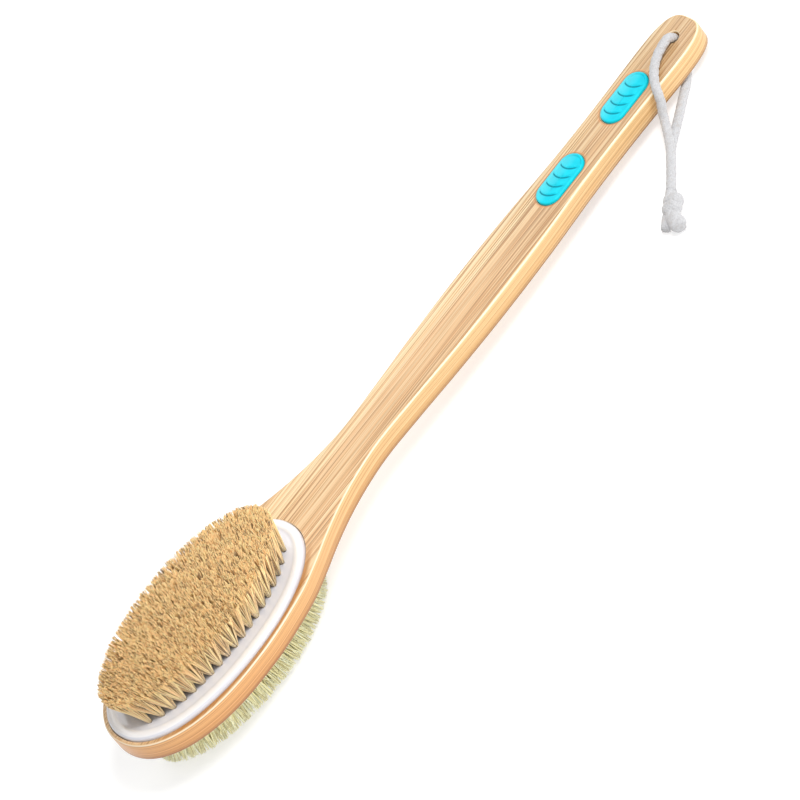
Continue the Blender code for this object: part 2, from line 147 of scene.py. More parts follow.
# ---------------------------------------------------------------- node helpers
class Shader:
    """A material's node tree with short calls for the nodes used here."""

    def __init__(self, name):
        self.material = bpy.data.materials.new(name)
        self.material.use_nodes = True
        self.tree = self.material.node_tree
        self.bsdf = self.tree.nodes["Principled BSDF"]

    def node(self, kind, **values):
        made = self.tree.nodes.new(kind)
        for key, value in values.items():
            setattr(made, key, value)
        return made

    def link(self, source, target):
        self.tree.links.new(source, target)

    def put(self, socket, value):
        if isinstance(value, bpy.types.NodeSocket):
            self.link(value, socket)
        else:
            socket.default_value = value

    def coords(self, scale=(1, 1, 1), offset=(0, 0, 0)):
        found = self.node("ShaderNodeTexCoord")
        mapping = self.node("ShaderNodeMapping")
        mapping.inputs["Scale"].default_value = scale
        mapping.inputs["Location"].default_value = offset
        self.link(found.outputs["Object"], mapping.inputs["Vector"])
        return mapping.outputs["Vector"]

    def noise(self, scale, detail, rough=0.5, offset=(0, 0, 0)):
        """Noise whose grain is set by the scale along each of the brush's axes."""
        made = self.node("ShaderNodeTexNoise")
        self.link(self.coords(scale, offset), made.inputs["Vector"])
        made.inputs["Scale"].default_value = 1.0
        made.inputs["Detail"].default_value = detail
        made.inputs["Roughness"].default_value = rough
        return made.outputs["Fac"]

    def ramp(self, value, *stops):
        made = self.node("ShaderNodeValToRGB")
        elements = made.color_ramp.elements
        while len(elements) < len(stops):
            elements.new(0.5)
        for element, (at, colour) in zip(elements, stops):
            element.position = at
            element.color = (*colour, 1.0)
        self.link(value, made.inputs["Fac"])
        return made.outputs["Color"]

    def math(self, operation, a, b=0.0):
        made = self.node("ShaderNodeMath", operation=operation)
        self.put(made.inputs[0], a)
        self.put(made.inputs[1], b)
        return made.outputs[0]

    def spread(self, value, low, high, to_low=0.0, to_high=1.0):
        made = self.node("ShaderNodeMapRange", clamp=True)
        self.put(made.inputs["Value"], value)
        made.inputs["From Min"].default_value = low
        made.inputs["From Max"].default_value = high
        made.inputs["To Min"].default_value = to_low
        made.inputs["To Max"].default_value = to_high
        return made.outputs["Result"]

    def mix(self, share, a, b, blend="MIX"):
        made = self.node("ShaderNodeMix", data_type="RGBA", blend_type=blend)
        self.put(made.inputs["Factor"], share)
        for socket, value in ((made.inputs[6], a), (made.inputs[7], b)):
            if isinstance(value, tuple):
                value = (*value, 1.0)
            self.put(socket, value)
        return made.outputs[2]

    def axes(self, vector):
        made = self.node("ShaderNodeSeparateXYZ")
        self.link(vector, made.inputs["Vector"])
        return made.outputs

    def bump(self, height, strength, distance):
        made = self.node("ShaderNodeBump")
        made.inputs["Strength"].default_value = strength
        made.inputs["Distance"].default_value = distance
        self.link(height, made.inputs["Height"])
        self.link(made.outputs["Normal"], self.bsdf.inputs["Normal"])

    def set(self, **values):
        for key, value in values.items():
            self.put(self.bsdf.inputs[key.replace("_", " ")], value)
        return self.material

    def painted_pocket_shade(self, x, y):
        """A ring of painted shade round the plate's pocket, on the side of +X."""
        across = self.math("DIVIDE", self.math("ABSOLUTE", x), PLATE_HALF_WIDTH)
        along = self.math("SUBTRACT", y, PLATE_Y)
        along = self.math("DIVIDE", self.math("ABSOLUTE", along), PLATE_HALF_LENGTH)
        across = self.math("POWER", across, PLATE_POWER)
        reach = self.math("ADD", across, self.math("POWER", along, PLATE_POWER))
        ring = self.spread(reach, 1.09, 1.17, 1.0, 0.0)
        return self.math("MULTIPLY", ring, self.spread(x, 0.016, 0.026, 0.0, 0.85))

    def painted_pad_shade(self, x, y, width):
        """A ring of painted shade of that width round both grip pads, fading outwards."""
        found = 0.0
        for middle in PAD_YS:
            along = self.math("ABSOLUTE", self.math("SUBTRACT", y, middle))
            along = self.math("MAXIMUM", self.math("SUBTRACT", along, PAD_HALF_STRAIGHT), 0.0)
            squares = self.math("ADD", self.math("MULTIPLY", x, x), self.math("POWER", along, 2.0))
            reach = self.math("SQRT", squares)
            ring = self.spread(reach, PAD_RADIUS, PAD_RADIUS + width, 0.8, 0.0)
            found = self.math("MAXIMUM", ring, found)
        return found


# ---------------------------------------------------------------- materials
def bamboo():
    """Laminated strips with thin dark fibres along the board, plainer and warmer on the sides;
    painted shade darkens the sides towards the rear edge and rings the pockets, and a painted
    highlight lies along the front edge.
    """
    s = Shader("bamboo")
    x, y, z = s.axes(s.coords())
    lines = s.noise((1350, 5, 500), 2.0, 0.55)
    fibres = s.noise((1050, 7, 500), 2.0, 0.6, (3, 0, 1))
    broad = s.noise((170, 1.5, 60), 1.0, 0.5, (0, 4, 1))
    patchy = s.noise((60, 14, 30), 2.0, 0.6, (9, 1, 1))
    front = s.ramp(
        lines,
        (0.36, (0.38, 0.19, 0.065)),
        (0.42, (0.62, 0.35, 0.15)),
        (0.48, (0.82, 0.52, 0.255)),
        (0.55, (0.86, 0.585, 0.31)),
        (0.62, (0.96, 0.77, 0.47)),
    )
    dark = s.spread(fibres, 0.41, 0.46, 0.95, 0.0)
    dark = s.math("MULTIPLY", dark, s.spread(patchy, 0.30, 0.60, 0.35, 1.0))
    front = s.mix(dark, front, (0.36, 0.18, 0.06))
    straw = s.noise((900, 6, 450), 2.0, 0.6, (5, 2, 3))
    front = s.mix(s.spread(straw, 0.55, 0.60, 0.0, 0.55), front, (0.98, 0.80, 0.50))
    front = s.mix(s.spread(broad, 0.35, 0.65, 0.0, 0.4), front, (0.70, 0.43, 0.19))
    streaks = s.noise((12, 4, 2100), 2.0, 0.6, (0, 5, 9))
    # painted shade: the sides darken from the front face towards the rear one, down to a dark line
    # at the rear edge
    depth = s.spread(z, -HALF, HALF)
    side = s.ramp(
        depth,
        (0.00, (0.16, 0.065, 0.015)),
        (0.12, (0.36, 0.16, 0.045)),
        (0.26, (0.66, 0.37, 0.13)),
        (0.45, (0.76, 0.45, 0.18)),
        (0.80, (0.81, 0.51, 0.22)),
        (1.00, (0.85, 0.58, 0.28)),
    )
    side = s.mix(s.spread(streaks, 0.38, 0.46, 0.75, 0.0), side, (0.50, 0.26, 0.09))
    side = s.mix(s.spread(streaks, 0.54, 0.62, 0.0, 0.5), side, (0.94, 0.68, 0.36))
    side = s.mix(s.spread(y, 0.06, 0.20, 0.9, 0.0), side, (0.93, 0.72, 0.56), "MULTIPLY")
    tip = s.spread(y, 0.27, 0.40, 0.0, 0.9)
    front = s.mix(tip, front, (0.80, 0.81, 0.82), "MULTIPLY")
    strip = s.spread(x, -0.0056, -0.0048)
    front = s.mix(strip, front, (0.92, 0.87, 0.84), "MULTIPLY")
    # painted shade in the gap round the plate's pocket, on the +X side
    front = s.mix(s.painted_pocket_shade(x, y), front, (0.44, 0.165, 0.028))
    # painted shade round the pad pockets: a wider orange ring, then a narrower dark painted shadow
    # at the rim
    front = s.mix(s.painted_pad_shade(x, y, 0.0019), front, (0.80, 0.30, 0.08))
    front = s.mix(s.painted_pad_shade(x, y, 0.0009), front, (0.10, 0.04, 0.01))
    normal = s.node("ShaderNodeNewGeometry").outputs["Normal"]
    tilt = s.node("ShaderNodeVectorMath", operation="DOT_PRODUCT")
    s.link(normal, tilt.inputs[0])
    tilt.inputs[1].default_value = tuple(UP)
    facing = s.math("ABSOLUTE", tilt.outputs["Value"])
    colour = s.mix(s.spread(facing, 0.80, 0.97), side, front)
    # painted highlight along the rounding of the front face's edge
    pale_mottle_and_edge_highlight = s.math("MULTIPLY", s.spread(facing, 0.32, 0.55), s.spread(facing, 0.72, 0.93, 1.0, 0.0))
    pale_mottle_and_edge_highlight = s.math("MULTIPLY", pale_mottle_and_edge_highlight, s.spread(z, 0.0, 0.002, 0.0, 0.75))
    colour = s.mix(pale_mottle_and_edge_highlight, colour, (1.0, 0.90, 0.68))
    s.bump(fibres, 0.18, 0.0002)
    roughness = s.spread(lines, 0.3, 0.7, 0.36, 0.50)
    return s.set(Base_Color=colour, Roughness=roughness, Coat_Weight=0.35, Coat_Roughness=0.16)


def plate_white():
    """Glossy white, with painted shade in the depths of the tuft holes and a lighter painted shade
    over the plateau among the tufts.
    """
    s = Shader("plate_white")
    x, y, z = s.axes(s.coords())
    cloud = s.noise((45, 45, 45), 2.0)
    white = s.ramp(cloud, (0.3, (0.88, 0.87, 0.88)), (0.7, (0.93, 0.92, 0.92)))
    across = s.math("POWER", s.math("DIVIDE", x, FRONT_BASE_OVAL[1]), 2.0)
    along = s.math("DIVIDE", s.math("SUBTRACT", y, PLATE_Y), FRONT_BASE_OVAL[2])
    oval = s.math("ADD", across, s.math("POWER", along, 2.0))
    # painted shade in the depths of the tuft holes
    low = s.spread(s.math("ABSOLUTE", z), HALF + 0.0007, HALF + 0.0014, 1.0, 0.0)
    deep = s.math("MULTIPLY", low, s.spread(oval, 1.2, 1.35, 1.0, 0.0))
    # painted shade greys the plateau among the tufts, below the bright lip
    flat = s.spread(s.math("ABSOLUTE", z), HALF + 0.00175, HALF + 0.0020, 1.0, 0.0)
    white = s.mix(flat, white, (0.84, 0.85, 0.90), "MULTIPLY")
    colour = s.mix(deep, white, (0.035, 0.02, 0.012))
    grain = s.noise((900, 900, 900), 2.0)
    s.bump(grain, 0.03, 0.0001)
    roughness = s.spread(cloud, 0.3, 0.7, 0.14, 0.2)
    return s.set(Base_Color=colour, Roughness=roughness, Coat_Weight=0.5, Coat_Roughness=0.05)


def grip_rubber():
    """Cyan rubber, paler on the left with a painted sheen, and with painted shade under each ridge.
    """
    s = Shader("grip_rubber")
    x = s.axes(s.coords())["X"]
    cloud = s.noise((260, 260, 260), 3.0)
    colour = s.ramp(cloud, (0.3, (0.001, 0.60, 0.74)), (0.7, (0.004, 0.69, 0.83)))
    # painted sheen: paler and greyer towards the left
    painted_sheen = s.spread(x, -0.0062, 0.0010, 0.40, 0.0)
    colour = s.mix(painted_sheen, colour, (0.24, 0.66, 0.68))
    # painted shade under each ridge
    ridge_shade = s.node("ShaderNodeAttribute", attribute_name="ridge_shade").outputs["Fac"]
    colour = s.mix(ridge_shade, colour, (0.0, 0.22, 0.30))
    grain = s.noise((2600, 2600, 2600), 2.0)
    s.bump(grain, 0.15, 0.0001)
    roughness = s.spread(grain, 0.3, 0.7, 0.46, 0.58)
    return s.set(Base_Color=colour, Roughness=roughness, Specular_IOR_Level=0.2)


def bristle(name, root, middle, tip, shade, tip_z):
    """Each fibre's own tone, from root to cut tip, with the inside of the field in shade."""
    s = Shader(name)
    z = s.axes(s.coords())["Z"]
    height = s.spread(s.math("ABSOLUTE", z), HALF + 0.0016, tip_z)
    base = s.ramp(height, (0.0, root), (0.45, middle), (1.0, tip))
    tone = s.node("ShaderNodeAttribute", attribute_name="tone").outputs["Fac"]
    inside = s.node("ShaderNodeAttribute", attribute_name="inside").outputs["Fac"]
    dark = tuple(0.22 * m + 0.78 * c for m, c in zip(middle, shade))
    pale = tuple(min(c * 1.15 + 0.06, 1.0) for c in tip)
    colour = s.mix(s.spread(tone, 0.10, 0.24, 1.0, 0.0), base, dark)
    colour = s.mix(s.spread(tone, 0.48, 0.80, 0.0, 1.0), colour, pale)
    colour = s.mix(inside, colour, shade)
    pale_mottle_and_edge_highlight = s.noise((500, 500, 500), 2.0)
    colour = s.mix(s.spread(pale_mottle_and_edge_highlight, 0.5, 0.7, 0.0, 0.25), colour, pale)
    return s.set(Base_Color=colour, Roughness=0.5, Sheen_Weight=0.25, Sheen_Roughness=0.4)


def cotton():
    """Off-white yarn, mottled finely and flecked with a little brown."""
    s = Shader("cotton")
    yarn = s.noise((1800, 1800, 1800), 3.0, 0.7)
    colour = s.ramp(yarn, (0.3, (0.46, 0.46, 0.475)), (0.7, (0.67, 0.67, 0.68)))
    fleck = s.noise((620, 620, 620), 2.0)
    colour = s.mix(s.spread(fleck, 0.54, 0.70, 0.0, 0.35), colour, (0.42, 0.37, 0.33))
    s.bump(yarn, 0.8, 0.0003)
    return s.set(Base_Color=colour, Roughness=0.9, Sheen_Weight=0.3)


# ---------------------------------------------------------------- mesh helpers
def piece(name, mesh, finish, at=None, smooth=35):
    """An object riding the brush, with edges over smooth degrees kept sharp."""
    made = bpy.data.objects.new(name, mesh)
    bpy.context.scene.collection.objects.link(made)
    mesh.materials.clear()
    mesh.materials.append(finish)
    if smooth:
        mesh.shade_smooth()
        mesh.set_sharp_from_angle(angle=math.radians(smooth))
    made.matrix_world = PLACE if at is None else at
    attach(made, "root")
    return made


def mesh_of(bm, name):
    bmesh.ops.recalc_face_normals(bm, faces=bm.faces)
    mesh = bpy.data.meshes.new(name)
    bm.to_mesh(mesh)
    bm.free()
    return mesh


def lofted(name, rings):
    """A closed body through rings of equal count, each a list of (x, y) and a height."""
    bm = bmesh.new()
    loops = [[bm.verts.new((x, y, z)) for x, y in outline] for outline, z in rings]
    for low, high in zip(loops, loops[1:]):
        for i in range(len(low)):
            j = (i + 1) % len(low)
            bm.faces.new((low[i], low[j], high[j], high[i]))
    bm.faces.new(loops[0])
    bm.faces.new(loops[-1])
    return mesh_of(bm, name)


def with_modifiers(mesh, name, setup):
    """The mesh after the modifiers that setup(obj) adds."""
    obj = bpy.data.objects.new(name, mesh)
    bpy.context.scene.collection.objects.link(obj)
    helpers = setup(obj) or []
    bpy.context.view_layer.update()
    graph = bpy.context.evaluated_depsgraph_get()
    made = bpy.data.meshes.new_from_object(obj.evaluated_get(graph))
    for helper in [obj, *helpers]:
        bpy.data.objects.remove(helper)
    made.name = name
    return made


def cut(obj, mesh):
    """Takes the mesh's shape out of obj, and returns the cutter."""
    other = bpy.data.objects.new(mesh.name, mesh)
    bpy.context.scene.collection.objects.link(other)
    modifier = obj.modifiers.new(mesh.name, "BOOLEAN")
    modifier.operation = "DIFFERENCE"
    modifier.solver = "EXACT"
    modifier.object = other
    return other


# ---------------------------------------------------------------- outlines
def smooth_value(stations, at):
    """The value at that place, on a smooth curve through the stations."""
    last = len(stations) - 1
    i = max(k for k in range(last) if stations[k][0] <= at + 1e-9)
    x0, y0 = stations[i]
    x1, y1 = stations[i + 1]
    before = stations[max(i - 1, 0)]
    after = stations[min(i + 2, last)]
    slope0 = (y1 - before[1]) / (x1 - before[0]) if i > 0 else 0.0
    slope1 = (after[1] - y0) / (after[0] - x0)
    span = x1 - x0
    t = (at - x0) / span
    return (
        (2 * t**3 - 3 * t**2 + 1) * y0
        + (t**3 - 2 * t**2 + t) * span * slope0
        + (3 * t**2 - 2 * t**3) * y1
        + (t**3 - t**2) * span * slope1
    )


def oval_point(angle, half_width, half_length, power):
    s, c = math.sin(angle), math.cos(angle)
    x = math.copysign(abs(s) ** (2 / power), s) * half_width
    y = math.copysign(abs(c) ** (2 / power), c) * half_length
    return x, y


def oval_outline(half_width, half_length, power, steps):
    return [
        oval_point(2 * math.pi * i / steps, half_width, half_length, power) for i in range(steps)
    ]


def evenly(points, step):
    """The closed outline's points, spaced evenly."""
    loop = points + [points[0]]
    lengths = [0.0]
    for a, b in zip(loop, loop[1:]):
        lengths.append(lengths[-1] + math.dist(a, b))
    count = round(lengths[-1] / step)
    found = []
    i = 0
    for k in range(count):
        target = lengths[-1] * k / count
        while lengths[i + 1] < target:
            i += 1
        t = (target - lengths[i]) / (lengths[i + 1] - lengths[i])
        found.append(tuple(p + (q - p) * t for p, q in zip(loop[i], loop[i + 1])))
    return found


def board_outline(step):
    right = []
    for i in range(90):
        angle = math.pi - i * math.pi / 180
        x, y = oval_point(angle, HEAD_HALF_WIDTH, HEAD_WIDEST - HEAD_END, HEAD_POWER)
        right.append((x, HEAD_WIDEST + y))
    steps = 340
    for i in range(steps):
        y = HEAD_WIDEST + (TIP_START - HEAD_WIDEST) * i / steps
        right.append((smooth_value(SIDE_STATIONS, y), y))
    for i in range(91):
        angle = math.pi / 2 - i * math.pi / 180
        x, y = oval_point(angle, TIP_HALF_WIDTH, TIP_END - TIP_START, TIP_POWER)
        right.append((x, TIP_START + y))
    right[0] = (0.0, HEAD_END)
    right[-1] = (0.0, TIP_END)
    return evenly(right + [(-x, y) for x, y in reversed(right[1:-1])], step)


def inset(outline, depth):
    """The outline moved inwards by depth along its own normals."""
    count = len(outline)
    moved = []
    for i, (x, y) in enumerate(outline):
        ax, ay = outline[i - 1]
        bx, by = outline[(i + 1) % count]
        length = math.hypot(bx - ax, by - ay)
        moved.append((x - depth * (by - ay) / length, y + depth * (bx - ax) / length))
    return moved


def stadium(radius, half_straight, arc_steps, straight_steps=1):
    """Two half-circles joined by straight sides along Y."""
    points = []
    for side in (1, -1):
        for i in range(arc_steps):
            angle = math.pi * i / arc_steps
            points.append(
                (side * radius * math.cos(angle), side * (half_straight + radius * math.sin(angle)))
            )
        for i in range(straight_steps):
            share = i / straight_steps
            points.append((-side * radius, side * half_straight * (1 - 2 * share)))
    return points


# ---------------------------------------------------------------- board
def rounded_cutter(name, outline, depth, flare):
    """A pocket cutter from depth under the front face, its mouth eased by flare."""
    rings = [(outline, HALF - depth), (outline, HALF - flare)]
    for i in range(1, 5):
        turn = math.pi / 2 * i / 4
        out = flare * (1 - math.cos(turn))
        rings.append((inset(outline, -out), HALF - flare + flare * math.sin(turn)))
    rings.append((inset(outline, -flare * 1.4), HALF + 0.001))
    return lofted(name, rings)


def hole_cutter():
    """A cutter for the hanging hole, both of its mouths rounded."""
    rings = []
    ease = 0.0008
    circle = [2 * math.pi * i / 64 for i in range(64)]
    profile = [(HOLE_RADIUS + ease * 1.3, HALF + 0.001)]
    for i in range(7):
        turn = math.pi / 2 * i / 6
        profile.append(
            (HOLE_RADIUS + ease * (1 - math.sin(turn)), HALF - ease * (1 - math.cos(turn)))
        )
    profile += [(radius, -z) for radius, z in reversed(profile)]
    for radius, z in reversed(profile):
        ring = [(radius * math.cos(a), HOLE_Y + radius * math.sin(a)) for a in circle]
        rings.append((ring, z))
    return lofted("hole", rings)


def board(finish):
    """The bamboo board with rounded edges, its plate and pad pockets and its hole."""
    outline = board_outline(0.0012)
    rings = []
    steps = 6
    for side in (-1, 1):
        for i in range(steps + 1):
            turn = math.pi / 2 * (i if side > 0 else steps - i) / steps
            ring = inset(outline, EDGE_RADIUS * (1 - math.cos(turn)))
            rings.append((ring, side * (HALF - EDGE_RADIUS + EDGE_RADIUS * math.sin(turn))))

    def setup(obj):
        oval = oval_outline(PLATE_HALF_WIDTH, PLATE_HALF_LENGTH, PLATE_POWER, 180)
        oval = [(x, y + PLATE_Y) for x, y in oval]
        oval.reverse()
        front = rounded_cutter("front_pocket", oval, POCKET_DEPTH, 0.0004)
        rear = front.copy()
        rear.name = "rear_pocket"
        rear.transform(Matrix.Scale(-1, 4, (0, 0, 1)))
        rear.flip_normals()
        helpers = [cut(obj, front), cut(obj, rear), cut(obj, hole_cutter())]
        for i, pad_y in enumerate(PAD_YS):
            pocket = [(x, y + pad_y) for x, y in stadium(PAD_RADIUS, PAD_HALF_STRAIGHT, 32)]
            cutter = rounded_cutter(f"pad_pocket_{i}", pocket, PAD_POCKET_DEPTH, 0.0003)
            helpers.append(cut(obj, cutter))
        return helpers

    mesh = with_modifiers(lofted("bamboo_board", rings), "bamboo_board", setup)
    made = piece("bamboo_board", mesh, finish)
    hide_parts("bamboo_handle")


# ---------------------------------------------------------------- bristle plates
PLATE_PROFILE = (  # distance in from the plate's edge, and height over the board's face
    (0.0003, 0.0004),
    (0.0004, 0.0009),
    (0.0006, 0.0014),
    (0.0010, 0.0018),
    (0.0016, 0.0021),
    (0.0025, 0.0022),
    (0.0034, 0.0022),
    (0.0042, 0.0021),
    (0.0048, 0.0019),
    (0.0054, 0.00175),
    (0.0064, 0.0017),
)


def oval_reach(offset, oval):
    """Half the oval's width at that distance from its centre."""
    share = min(abs(offset) / oval[2], 0.975)
    return oval[1] * math.sqrt(1 - share**2)


def tuft_places(base, tip):
    """Each row's tufts as pairs of foot and tip, (x, y) each."""
    rows = []
    for i in range(ROWS):
        place = (i - (ROWS - 1) / 2) / ROWS
        offset = place * 2 * base[2] * 0.96
        tip_offset = place * 2 * tip[2]
        base_half = oval_reach(offset, base)
        tip_half = oval_reach(tip_offset, tip)
        count = max(round(2 * base_half / TUFT_PITCH) + 1, 2)
        tufts = []
        for k in range(count):
            share = 2 * k / (count - 1) - 1
            foot = (base_half * share, base[0] + offset)
            end = ((tip_half - tip_half / count) * share, tip[0] + tip_offset)
            tufts.append((foot, end))
        rows.append(tufts)
    return rows


def bristle_plate(name, side, rows, finish, node):
    """A plate with a raised rim and a tapered hole for each tuft."""
    low = HALF - POCKET_DEPTH + GAP
    rings = []
    for depth, height in ((GAP, None),) + PLATE_PROFILE:
        oval = oval_outline(
            PLATE_HALF_WIDTH - depth, PLATE_HALF_LENGTH - depth, PLATE_POWER, 200
        )
        level = low if height is None else HALF + height
        rings.append(([(x, y + PLATE_Y) for x, y in oval], level))
    mesh = lofted(name, rings)

    def setup(obj):
        bm = bmesh.new()
        for row in rows:
            for foot, _ in row:
                spot = Matrix.Translation((*foot, HALF + PLATEAU))
                bmesh.ops.create_cone(
                    bm,
                    cap_ends=True,
                    segments=16,
                    radius1=0.0010,
                    radius2=0.0012,
                    depth=0.0024,
                    matrix=spot,
                )
        return [cut(obj, mesh_of(bm, "tuft_holes"))]

    mesh = with_modifiers(mesh, name, setup)
    if side < 0:
        mesh.transform(Matrix.Scale(-1, 4, (0, 0, 1)))
        mesh.flip_normals()
    made = piece(name, mesh, finish)
    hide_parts(node)


# ---------------------------------------------------------------- tufts
HAIR_LEVELS = ((0.0, 1.0), (0.35, 1.0), (0.7, 0.95), (1.0, 0.75))  # share of its run, of its radius
HAIRS = 150  # in each tuft
HAIR_RADIUS = 0.0002
FOOT_RADIUS = 0.0007  # of the bundle in its hole
FOOT_DEPTH = 0.0012
CLUMPS = 20  # in each tuft
CLUMP_SPREAD = (0.0050, 0.0070)  # across and along
TIP_SPREAD = (0.0052, 0.0072)
DEEPEST_DIP = 0.0022  # of a clump under the level cut


def hair(verts, faces, foot, tip, bend, radius):
    """One bristle as a three-sided tube through four levels, a little thinner at the tip."""
    start = len(verts)
    run = tip - foot
    side = run.cross(Vector((0.31, 0.73, 0.2))).normalized()
    other = run.cross(side).normalized()
    for t, size in HAIR_LEVELS:
        middle = foot + run * t + bend * (t * (1 - t) * 2)
        for k in range(3):
            angle = 2 * math.pi * k / 3
            spot = middle + (side * math.cos(angle) + other * math.sin(angle)) * radius * size
            verts.append(spot)
    for level in range(len(HAIR_LEVELS) - 1):
        for k in range(3):
            a = start + level * 3 + k
            b = start + level * 3 + (k + 1) % 3
            faces.append((a, b, b + 3, a + 3))
    last = start + (len(HAIR_LEVELS) - 1) * 3
    faces.append((last, last + 1, last + 2))
    faces.append((start + 2, start + 1, start))


def within_oval(x, y, oval, slack):
    """The point, pulled back onto the field's cut outline if it lies past it."""
    reach = math.hypot(x / oval[1], (y - oval[0]) / oval[2])
    scale = min(1.0, slack / reach) if reach > 0 else 1.0
    return x * scale, oval[0] + (y - oval[0]) * scale


def tuft_row(name, tufts, field, node, chance):
    """Bristles fan out from each hole of the row, gather in small clumps and are cut level."""
    verts, faces, tones, insides = [], [], [], []
    for (foot_x, foot_y), (tip_x, tip_y) in tufts:
        clumps = []
        for k in range(CLUMPS):
            turn = chance.uniform(0, 2 * math.pi)
            out = math.sqrt((k + 0.5) / CLUMPS)
            dip = chance.uniform(0.0, DEEPEST_DIP)
            x = CLUMP_SPREAD[0] * out * math.cos(turn)
            y = CLUMP_SPREAD[1] * out * math.sin(turn)
            clumps.append((x, y, dip))
        for _ in range(HAIRS):
            turn = chance.uniform(0, 2 * math.pi)
            out = math.sqrt(chance.random())
            ring = Vector((math.cos(turn), math.sin(turn), 0.0)) * out
            foot = Vector((foot_x, foot_y, HALF + PLATEAU - FOOT_DEPTH)) + ring * FOOT_RADIUS
            dx, dy = ring.x * TIP_SPREAD[0], ring.y * TIP_SPREAD[1]
            cx, cy, dip = min(clumps, key=lambda c: (c[0] - dx) ** 2 + (c[1] - dy) ** 2)
            pull = chance.uniform(0.2, 0.75)
            dx += (cx - dx) * pull + chance.gauss(0, 0.0002)
            dy += (cy - dy) * pull + chance.gauss(0, 0.0002)
            slack = 1.0 - abs(chance.gauss(0, 0.018))
            x, y = within_oval(tip_x + dx, tip_y + dy, field["tip"], slack)
            drop = 0.0006 * out**4 + abs(chance.gauss(0, 0.0005)) + dip * pull
            tip = Vector((x, y, HALF + field["top"] - drop))
            bend = Vector((chance.gauss(0, 0.0003), chance.gauss(0, 0.0003), 0.0))
            hair(verts, faces, foot, tip, bend, HAIR_RADIUS * chance.uniform(0.8, 1.25))
            base = field["base"]
            reach = math.hypot(foot.x / base[1], (foot.y - base[0]) / base[2])
            inner = min(max((0.90 - reach) / 0.20, 0.0), 1.0)
            tones += [chance.random()] * (3 * len(HAIR_LEVELS))
            for t, _ in HAIR_LEVELS:
                insides += [inner * (1 - t) ** 2] * 3
    if field["side"] < 0:
        verts = [Vector((v.x, v.y, -v.z)) for v in verts]
        faces = [face[::-1] for face in faces]
    mesh = bpy.data.meshes.new(name)
    mesh.from_pydata(verts, [], faces)
    for label, values in (("tone", tones), ("inside", insides)):
        mesh.attributes.new(label, "FLOAT", "POINT").data.foreach_set("value", values)
    made = piece(name, mesh, field["finish"], smooth=0)
    mesh.shade_smooth()
    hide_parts(node)


def tuft_field(label, rows, field):
    """All rows of one side, each a piece in place of its CAD row."""
    for i, tufts in enumerate(rows):
        name = f"{label}_bristles_{i + 1:02d}"
        node = f"{label}_tuft_row_{i + 1:02d}"
        tuft_row(name, tufts, field, node, random.Random(node))


# ---------------------------------------------------------------- grip pads
RIDGE_YS = (0.0062, 0.0007, -0.0046, -0.0098)
RIDGE_LOW = -0.0020  # across the pad, where each ridge dips lowest
RIDGE_HALF = 0.0006
RIDGE_FALL = 1.8 * RIDGE_HALF  # its gentler side
RIDGE_HEIGHT = 0.00055
PAD_FACE = 0.0005  # of its ridged face over the board's


def past_ridge(x, y, ridge):
    """Distance from the ridge's line, which climbs to both sides of its low point."""
    curl = 100 if x < RIDGE_LOW else 78
    slope = 2 * curl * (x - RIDGE_LOW)
    return (y - ridge - curl * (x - RIDGE_LOW) ** 2) / math.hypot(1, slope)


def pad_relief(x, y):
    """Height and shade of the pad's face: rounded ridges with painted shade under each."""
    ends = min(max((x + 0.0057) / 0.0006, 0.0), 1.0) * min(max((0.0050 - x) / 0.0018, 0.0), 1.0)
    height = shade = 0.0
    for ridge in RIDGE_YS:
        past = past_ridge(x, y, ridge)
        if -RIDGE_HALF < past < RIDGE_FALL:
            wide = RIDGE_HALF if past < 0 else RIDGE_FALL
            height = RIDGE_HEIGHT * math.cos(math.pi / 2 * past / wide) ** 2
        under = (past + 0.00055) / 0.00028
        shade = max(shade, math.exp(-under * under))
    return height * ends, shade * ends


def grip_pad(name, y, finish, node):
    """A pad with a rounded lip round its ridged face."""
    low = HALF - PAD_POCKET_DEPTH + GAP
    profile = [
        (0.0003, None),
        (0.0003, 0.0004),
        (0.0004, 0.0007),
        (0.0007, 0.0010),
        (0.0011, 0.0011),
        (0.0014, 0.0010),
        (0.0017, 0.0006),
    ]
    count = 36
    for i in range(count):
        profile.append((0.0019 + (PAD_RADIUS - 0.00192) * i / (count - 1), PAD_FACE))
    rings = []
    for depth, height in profile:
        outline = stadium(PAD_RADIUS - depth, PAD_HALF_STRAIGHT, 60, 110)
        rings.append((outline, low if height is None else HALF + height))
    mesh = lofted(name, rings)
    # painted shade under each ridge, kept on the mesh for the rubber's colour
    ridge_shades = []
    for vertex in mesh.vertices:
        on_face = abs(vertex.co.z - HALF - PAD_FACE) < 1e-6
        height, shade = pad_relief(vertex.co.x, vertex.co.y) if on_face else (0.0, 0.0)
        vertex.co.z += height
        ridge_shades.append(shade)
    mesh.attributes.new("ridge_shade", "FLOAT", "POINT").data.foreach_set("value", ridge_shades)
    mesh.transform(Matrix.Translation((0.0, y, 0.0)))
    made = piece(name, mesh, finish, smooth=60)
    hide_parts(node)


